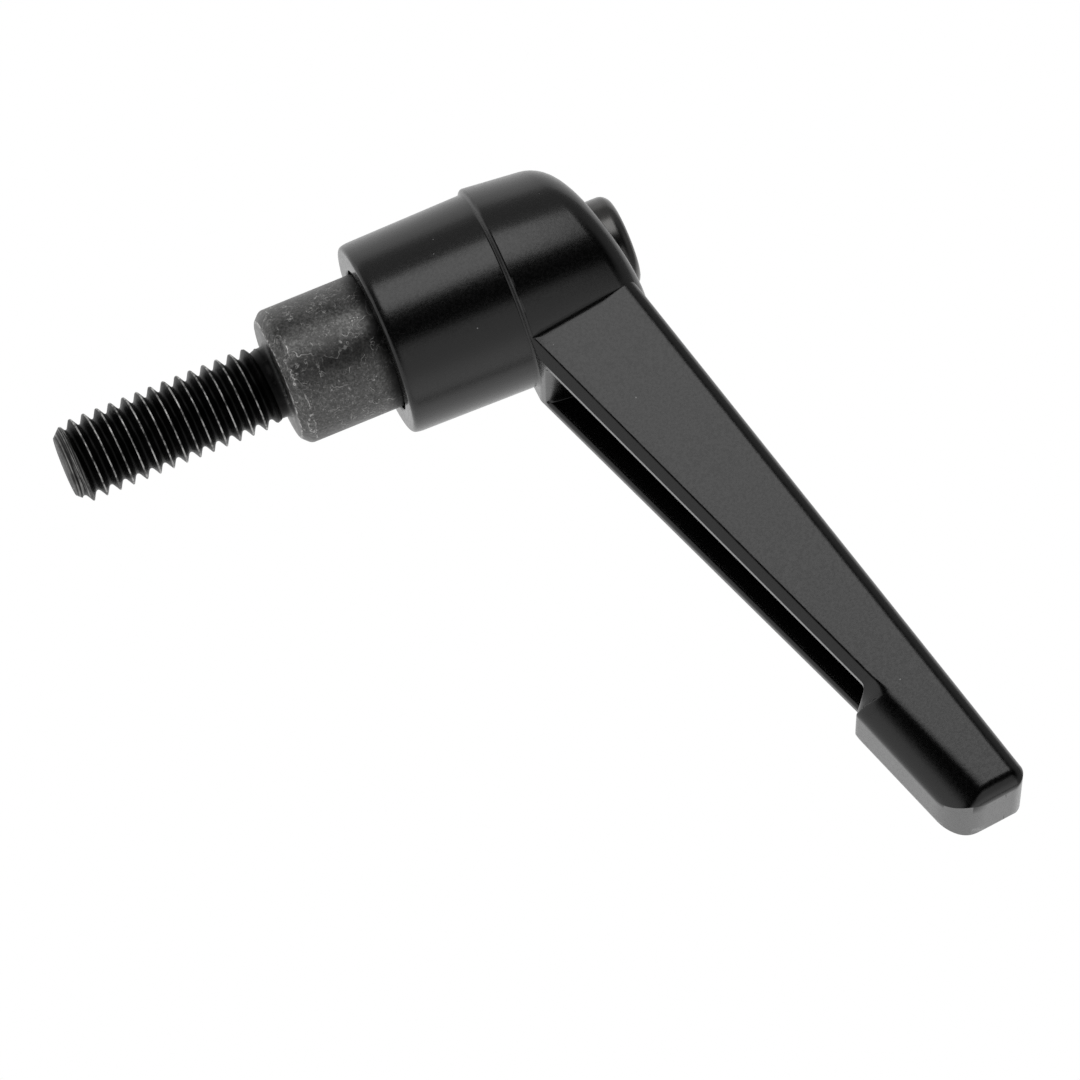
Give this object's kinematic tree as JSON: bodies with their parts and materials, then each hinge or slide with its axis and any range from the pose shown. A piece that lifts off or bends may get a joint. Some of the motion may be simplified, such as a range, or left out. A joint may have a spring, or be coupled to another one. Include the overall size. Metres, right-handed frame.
{
  "type": "adjustable clamping lever, male threaded stud",
  "caption": "Adjustable clamping lever: cast hub and tapered arm with a grip pad, lifted against a spring to index on a serrated steel insert with a threaded stud.",
  "frame": {"origin": "centre of the collar's end face, where the stud's axis meets the face that seats on the work", "axes": "+Z along the stud's axis from the stud to the retaining screw, +X the way the arm points"},
  "size_m": [0.0563, 0.015, 0.0514],
  "materials": {
    "coated_zinc": "satin",
    "insert_steel": "blackened, satin",
    "screw_steel": "blackened, satin",
    "spring_steel": "bright drawn wire"
  },
  "bodies": {
    "insert": {"serrated_insert": "insert_steel", "retaining_screw": "screw_steel"},
    "spring": {"return_spring": "spring_steel"},
    "lever": {"lever_handle": "coated_zinc"}
  },
  "joints": [
    {"name": "index_turn", "type": "hinge", "parent": "insert", "child": "spring", "pos_m": [0, 0, 0.0086], "axis": [0, 0, 1], "continuous": true},
    {"name": "lift", "type": "slide", "parent": "spring", "child": "lever", "axis": [0, 0, 1], "range_m": [0, 0.004], "stiffness_N_per_m": 900, "springref_m": -0.0022, "deforming": ["return_spring"]}
  ]
}
